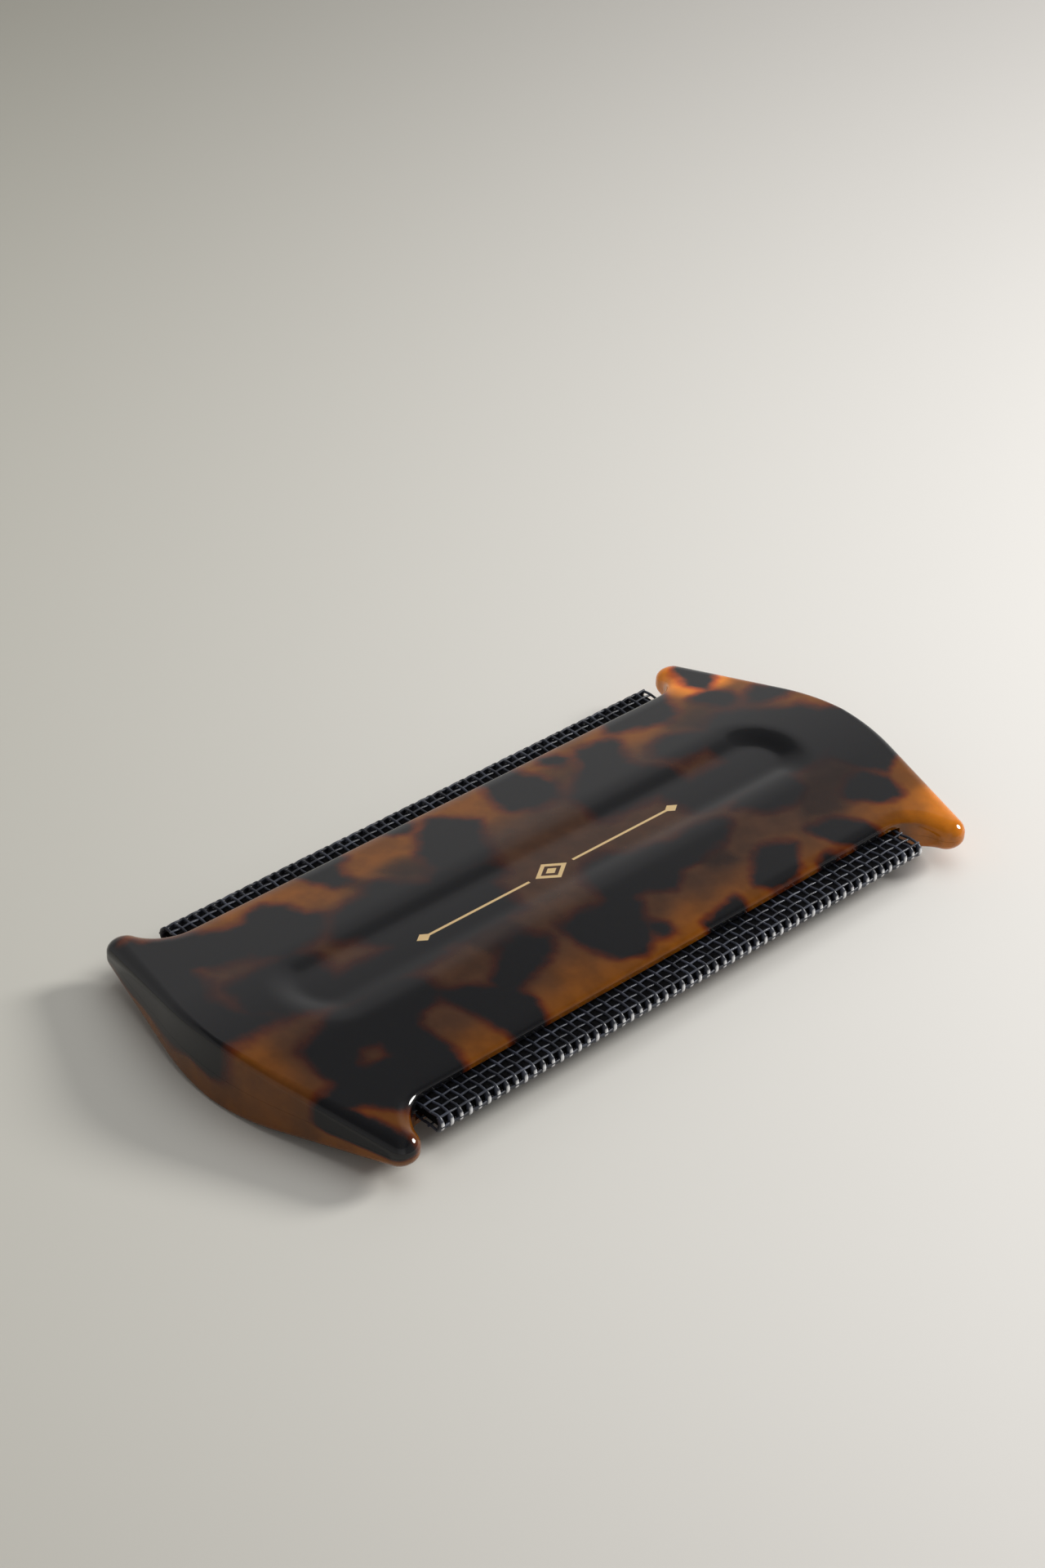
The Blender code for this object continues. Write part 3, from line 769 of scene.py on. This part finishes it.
@contextmanager
def whole_mesh_edited():
    """Edit mode with everything selected, and back to object mode."""
    bpy.ops.object.mode_set(mode="EDIT")
    bpy.ops.mesh.select_all(action="SELECT")
    yield
    bpy.ops.object.mode_set(mode="OBJECT")


def settle(obj, name):
    """Names a finished piece and puts its place into its mesh."""
    select_only(obj)
    bpy.ops.object.transform_apply(location=True, rotation=True, scale=True)
    obj.name = name
    obj.data.name = name
    return obj


def add_shell(body, name, upward):
    """One half of the body, shaped from a grid whose rows are its cross sections."""
    rings = shell_rings(body)
    stations, ring_size = rings.shape[:2]
    deselect_all()
    bpy.ops.mesh.primitive_grid_add(x_subdivisions=ring_size - 1, y_subdivisions=stations - 1, size=2.0)
    obj = bpy.context.object
    mesh = obj.data
    if len(mesh.vertices) != stations * ring_size:
        raise RuntimeError(f"{name}: the grid does not fit its rings")
    places = vertex_places(mesh)
    column = np.rint((places[:, 0] + 1.0) / 2.0 * (ring_size - 1)).astype(int)
    row = np.rint((places[:, 1] + 1.0) / 2.0 * (stations - 1)).astype(int)
    shaped = rings[row, column]
    shaped[:, 2] = MIDDLE_Z + (shaped[:, 2] if upward else -shaped[:, 2])
    shaped[:, 2] = np.maximum(shaped[:, 2], REST_Z)
    mesh.vertices.foreach_set("co", shaped.ravel())
    with whole_mesh_edited():
        bpy.ops.mesh.remove_doubles(threshold=MERGE_DISTANCE)
        bpy.ops.mesh.dissolve_degenerate(threshold=SLIVER_LENGTH)
        bpy.ops.mesh.normals_make_consistent(inside=False)
    settle(obj, name)
    bpy.ops.object.shade_smooth_by_angle(angle=SHELL_CREASE)
    paint_pattern(obj)
    return obj


def fold_length(screens):
    return 2 * hypot(screens.reach - screens.fold_radius, screens.leaf_pinch) + pi * screens.fold_radius


def fold_point(body, screens, distance, lift):
    """Point (y, z) at a distance round the folded sheet; past either lip it runs straight on."""
    edge = long_edge(body)
    fold_y = edge + screens.reach - screens.fold_radius
    leaf_run = hypot(fold_y - edge, screens.leaf_pinch)
    total = fold_length(screens)
    spill = min(distance, 0.0) + min(total - distance, 0.0)
    distance = min(max(distance, 0.0), total)
    mirrored = distance > total / 2
    along = total - distance if mirrored else distance
    if along < leaf_run:
        share = along / leaf_run
        y = edge + (fold_y - edge) * share
        z = screens.fold_radius - screens.leaf_pinch * (1 - share)
        out = (-screens.leaf_pinch / leaf_run, (fold_y - edge) / leaf_run)
    else:
        angle = pi / 2 - (along - leaf_run) / screens.fold_radius
        y = fold_y + screens.fold_radius * cos(angle)
        z = screens.fold_radius * sin(angle)
        out = (cos(angle), sin(angle))
    y, z = y + out[0] * lift + spill, z + out[1] * lift
    return y, -z if mirrored else z


def add_strands(name, paths, radius, swell=None):
    """Round strands along the given paths, as one mesh with closed ends; swell scales them point by point."""
    curve = bpy.data.curves.new(name, "CURVE")
    curve.dimensions = "3D"
    curve.bevel_depth = radius
    curve.bevel_resolution = 1
    curve.use_fill_caps = True
    for path in paths:
        spline = curve.splines.new("POLY")
        spline.points.add(len(path) - 1)
        spline.points.foreach_set("co", np.array([(*point, 1.0) for point in path]).ravel())
        if swell:
            spline.points.foreach_set("radius", np.array(swell))
        spline.use_smooth = True
    obj = bpy.data.objects.new(name, curve)
    bpy.context.collection.objects.link(obj)
    select_only(obj)
    bpy.ops.object.convert(target="MESH")
    return bpy.context.object


def add_shade_sheet(body, screens, name, side):
    """Painted shade inside the fold, which closes the view through the cells: one dark folded sheet."""
    reach = notch_centre(body)[0] + SCREEN_LAP - screens.strand
    inset = -SCREEN_THICKNESS / 2 - screens.strand / 2 - CORE_GAP
    total = fold_length(screens)
    round_fold = [total * step / CORE_STEPS for step in range(CORE_STEPS + 1)]
    section = [fold_point(body, screens, distance, inset)
               for distance in (-HOOP_TAIL, *round_fold, total + HOOP_TAIL)]
    corners = [(x, side * y, MIDDLE_Z + z) for y, z in section for x in (-reach, reach)]
    deselect_all()
    bpy.ops.mesh.primitive_cylinder_add(vertices=len(section), end_fill_type="NGON")
    core = bpy.context.object
    for vertex, place in zip(core.data.vertices, corners):
        vertex.co = place
    core.name = name + "_core"
    return core


def add_screen(body, screens, name, side, coating, painted_glint, inner):
    """Plain weave folded over double: hoops round the fold, and long strands over and under them."""
    half = notch_centre(body)[0] + SCREEN_LAP - screens.strand / 2
    hoops = round(2 * half / screens.pitch) + 1
    pitch = 2 * half / (hoops - 1)
    inset = -screens.strand / 2 - WEAVE_INSET
    sway = screens.strand * WEAVE_SWAY
    total = fold_length(screens)
    rows = [screens.first_row + index * screens.pitch
            for index in range(-1, round(total / screens.pitch) + 1)]

    def hoop_path(phase):
        path, swell = [], []
        run = total + 2 * HOOP_TAIL
        count = round(run / HOOP_STEP)
        for step in range(count + 1):
            distance = -HOOP_TAIL + run * step / count
            nose = 1.0 - float(smooth_step(abs(distance - total / 2), *NOSE_RUN))
            wave = (1.0 - nose) * sway * cos(pi * ((distance - screens.first_row) / screens.pitch + phase))
            lift = inset + (-screens.nose_strand / 2 - inset) * nose + wave
            y, z = fold_point(body, screens, distance, lift)
            path.append((0.0, side * y, MIDDLE_Z + z))
            swell.append(1.0 + (screens.nose_strand / screens.strand - 1.0) * nose)
        return path, swell

    def row_path(index, distance):
        path = []
        reach = half + screens.overhang
        count = round(2 * reach / ROW_STEP)
        for step in range(count + 1):
            x = -reach + 2 * reach * step / count
            wave = -sway * cos(pi * ((x + half) / pitch + index - 1))
            y, z = fold_point(body, screens, distance, inset + wave)
            path.append((x, side * y, MIDDLE_Z + z))
        return path

    paths = [row_path(index, distance) for index, distance in enumerate(rows)]
    made = [add_strands(name + "_rows", paths, screens.row_strand / 2), add_shade_sheet(body, screens, name, side)]
    for phase in (0, 1):
        path, swell = hoop_path(phase)
        hoop = add_strands(f"{name}_hoop_{phase}", [path], screens.strand / 2, swell)
        for vertex in hoop.data.vertices:
            vertex.co.x += -half + phase * pitch
        repeat = hoop.modifiers.new("along the strip", "ARRAY")
        repeat.use_relative_offset = False
        repeat.use_constant_offset = True
        repeat.constant_offset_displace = (2 * pitch, 0.0, 0.0)
        repeat.count = (hoops + 1 - phase) // 2
        bpy.ops.object.modifier_apply(modifier=repeat.name)
        made.append(hoop)
    for obj, material in zip(made, (coating, inner, painted_glint, painted_glint)):
        obj.data.materials.clear()
        obj.data.materials.append(material)
    select_only(*made)
    bpy.ops.object.join()
    screen = settle(bpy.context.object, name)
    with whole_mesh_edited():
        bpy.ops.mesh.normals_make_consistent(inside=False)
    bpy.ops.object.shade_smooth_by_angle(angle=STRAND_CREASE)
    return screen


def dress(obj, slot, *nodes):
    """Attaches a finished piece to the root body and hides the CAD nodes it stands for; the slot is not used.
    """
    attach(obj, "root")
    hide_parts(*nodes)


class COMB_OT_add_shells(bpy.types.Operator):
    """Add the upper and lower tortoiseshell shells"""

    bl_idname = "comb.add_shells"
    bl_label = "Add shells"

    def execute(self, context):
        body = context.scene.comb_body
        finish = context.scene.comb_finish
        upper = add_shell(body, "upper_shell", True)
        upper.data.materials.append(tortoiseshell(finish, "Tortoiseshell with rule", True))
        dress(upper, "tortoiseshell", "upper_body")
        lower = add_shell(body, "lower_shell", False)
        lower.data.materials.append(tortoiseshell(finish, "Tortoiseshell", False))
        dress(lower, "tortoiseshell", "lower_body")
        return {"FINISHED"}


class COMB_OT_add_screens(bpy.types.Operator):
    """Add the folded screens along the two long sides"""

    bl_idname = "comb.add_screens"
    bl_label = "Add screens"

    def execute(self, context):
        body = context.scene.comb_body
        screens = context.scene.comb_screens
        coating = screen_coating(screens, "Black coated rows")
        # The hoops' coating carries the painted highlight round the nose
        painted_glint = screen_coating(screens, "Black coated hoops", long_edge(body))
        # A dark sheet of painted shade inside each fold
        inner = shade_sheet_material()
        for name, side, node in (("front_screen", -1, "front_mesh"), ("rear_screen", 1, "rear_mesh")):
            screen = add_screen(body, screens, name, side, coating, painted_glint, inner)
            dress(screen, "mesh", node)
        return {"FINISHED"}


# Studio

CAMERA_AZIMUTH = radians(-45.76)
CAMERA_ELEVATION = radians(33.237)
CAMERA_ROLL = radians(2.635)
CAMERA_DISTANCE = 0.43448
CAMERA_TARGET = Vector((0.018535, 0.023464, -0.000117))
FLOOR_SIZE = 8.0
FLOOR_GAP = 0.02 * MM
WINDOW_PLACE = (0.726, -0.293, 0.443)
WINDOW_SIZE = 0.28
WINDOW_COLOR = (1.0, 0.985, 0.95)
FILL_PLACE = (0.26, -0.12, 1.16)
FILL_SIZE = 1.50
FILL_COLOR = (1.0, 1.0, 1.0)
SEEN_ROOM = (0.80, 0.79, 0.76)  # the room as the camera sees it past the floor
SIDE_DARK = (0.74, 0.74, 0.74)
SIDE_LIGHT = (1.24, 1.24, 1.24)
# The room's colour by the sine of the elevation
ROOM_STOPS = (
    (0.00, (1.10, 1.09, 1.08)),
    (0.27, (1.10, 1.09, 1.08)),
    (0.40, (0.97, 0.96, 0.95)),
    (0.54, (0.88, 0.87, 0.87)),
    (0.64, (0.77, 0.76, 0.76)),
    (0.72, (0.37, 0.37, 0.37)),
    (0.90, (0.30, 0.30, 0.30)),
)


def camera_axes():
    """Right, up and back directions of the camera."""
    back = Vector((sin(CAMERA_AZIMUTH) * cos(CAMERA_ELEVATION), -cos(CAMERA_AZIMUTH) * cos(CAMERA_ELEVATION),
                   sin(CAMERA_ELEVATION)))
    right = Vector((0.0, 0.0, 1.0)).cross(back).normalized()
    up = back.cross(right)
    turn = CAMERA_ROLL
    return right * cos(turn) + up * sin(turn), up * cos(turn) - right * sin(turn), back


def add_camera(studio):
    right, up, back = camera_axes()
    bpy.ops.object.camera_add()
    camera = bpy.context.object
    camera.name = "Camera"
    turned = Matrix((right, up, back)).transposed().to_4x4()
    camera.matrix_world = Matrix.Translation(CAMERA_TARGET + back * CAMERA_DISTANCE) @ turned
    camera.data.lens = studio.lens
    camera.data.sensor_width = 36.0
    camera.data.clip_start = 0.01
    bpy.context.scene.camera = camera


def add_lamp(name, place, size, power, color):
    """A round lamp that points at the comb."""
    bpy.ops.object.light_add(type="AREA", location=place)
    lamp = bpy.context.object
    lamp.name = name
    lamp.rotation_euler = (-Vector(place)).to_track_quat("-Z", "Y").to_euler()
    lamp.data.shape = "DISK"
    lamp.data.size = size
    lamp.data.energy = power
    lamp.data.color = color
    return lamp


def floor_material(studio):
    """Matt painted floor whose colour carries painted window light: darker towards the far left of the view
    as painted shade, and darker towards its far and near parts too.
    """
    material, tree = new_material("Studio floor")
    right = camera_axes()[0]
    turned = add_node(tree, "ShaderNodeMapping", vector_type="POINT")
    feed(tree, object_place(tree), turned.inputs["Vector"])
    feed(tree, (0.0, 0.0, -atan2(right.y, right.x)), turned.inputs["Rotation"])
    across, away, _ = add_axes(tree, turned.outputs["Vector"])
    # Painted window light and painted shade across the floor
    color = add_mix(tree, add_range(tree, across, -0.16, 0.17), studio.floor_painted_shade, studio.floor_window_lit)
    for start, stop, tint in ((0.04, 0.42, studio.floor_far_shade), (-0.05, -0.20, studio.floor_near_shade)):
        color = add_mix(tree, add_range(tree, away, start, stop), color, add_tint(tree, color, tint))
    add_surface(tree, {"Base Color": color, "Roughness": 0.75, "Specular IOR Level": 0.25})
    return material


def set_world(studio):
    """Pale room, brighter low down than overhead; the camera sees it as the floor's own pale tone."""
    world = bpy.data.worlds.new("Studio room")
    world.use_nodes = True
    bpy.context.scene.world = world
    tree = world.node_tree
    tree.nodes.clear()
    direction = add_node(tree, "ShaderNodeTexCoord").outputs["Generated"]
    height = add_range(tree, add_axes(tree, direction)[2], 0.0, 1.0, smooth=False)
    turned = add_node(tree, "ShaderNodeVectorMath", operation="DOT_PRODUCT")
    feed(tree, direction, turned.inputs[0])
    feed(tree, camera_axes()[0], turned.inputs[1])
    side = turned.outputs["Value"]
    side_tint = add_mix(tree, add_range(tree, side, -0.35, 0.35), SIDE_DARK, SIDE_LIGHT)
    lit = add_node(tree, "ShaderNodeBackground")
    feed(tree, add_tint(tree, add_ramp(tree, height, ROOM_STOPS), side_tint), lit.inputs["Color"])
    feed(tree, add_range(tree, side, 0.38, 0.60, studio.room, 0.45 * studio.room), lit.inputs["Strength"])
    seen = add_node(tree, "ShaderNodeBackground")
    feed(tree, SEEN_ROOM, seen.inputs["Color"])
    both = add_node(tree, "ShaderNodeMixShader")
    rays = add_node(tree, "ShaderNodeLightPath")
    sources = (rays.outputs["Is Camera Ray"], lit.outputs[0], seen.outputs[0])
    for source, socket in zip(sources, both.inputs):
        feed(tree, source, socket)
    output = add_node(tree, "ShaderNodeOutputWorld")
    feed(tree, both.outputs[0], output.inputs["Surface"])


class COMB_OT_add_studio(bpy.types.Operator):
    """Add the floor, the lamps, the room light and the camera"""

    bl_idname = "comb.add_studio"
    bl_label = "Add studio"

    def execute(self, context):
        studio = context.scene.comb_studio
        deselect_all()
        bpy.ops.mesh.primitive_plane_add(size=FLOOR_SIZE, location=(0.0, 0.0, REST_Z - FLOOR_GAP))
        floor = settle(bpy.context.object, "studio_floor")
        floor.data.materials.append(floor_material(studio))
        add_lamp("Window", WINDOW_PLACE, WINDOW_SIZE, studio.window_power, WINDOW_COLOR)
        fill = add_lamp("Fill", FILL_PLACE, FILL_SIZE, studio.fill_power, FILL_COLOR)
        fill.visible_glossy = False
        set_world(studio)
        add_camera(studio)
        context.scene.view_settings.view_transform = "Standard"
        return {"FINISHED"}


class COMB_PT_sidebar(bpy.types.Panel):
    """Sizes, colours and buttons of the comb"""

    bl_idname = "COMB_PT_sidebar"
    bl_label = "Cashmere comb"
    bl_space_type = "VIEW_3D"
    bl_region_type = "UI"
    bl_category = "Comb"

    def draw(self, context):
        for name, group in GROUPS.items():
            box = self.layout.box()
            box.label(text=group.__doc__)
            for setting in group.__annotations__:
                box.prop(getattr(context.scene, name), setting)
        for operator in OPERATORS:
            self.layout.operator(operator.bl_idname)


GROUPS = {"comb_body": CombBody, "comb_finish": CombShellFinish, "comb_screens": CombScreens,
          "comb_studio": CombStudio}
OPERATORS = (COMB_OT_add_shells, COMB_OT_add_screens, COMB_OT_add_studio)


def register():
    for name, group in GROUPS.items():
        bpy.utils.register_class(group)
        setattr(bpy.types.Scene, name, bpy.props.PointerProperty(type=group))
    for operator in OPERATORS:
        bpy.utils.register_class(operator)
    bpy.utils.register_class(COMB_PT_sidebar)


def unregister():
    bpy.utils.unregister_class(COMB_PT_sidebar)
    for operator in reversed(OPERATORS):
        bpy.utils.unregister_class(operator)
    for name, group in reversed(GROUPS.items()):
        delattr(bpy.types.Scene, name)
        bpy.utils.unregister_class(group)


def main():
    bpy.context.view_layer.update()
    register()
    bpy.ops.comb.add_shells()
    bpy.ops.comb.add_screens()
    bpy.ops.comb.add_studio()


if __name__ == "__main__":
    main()
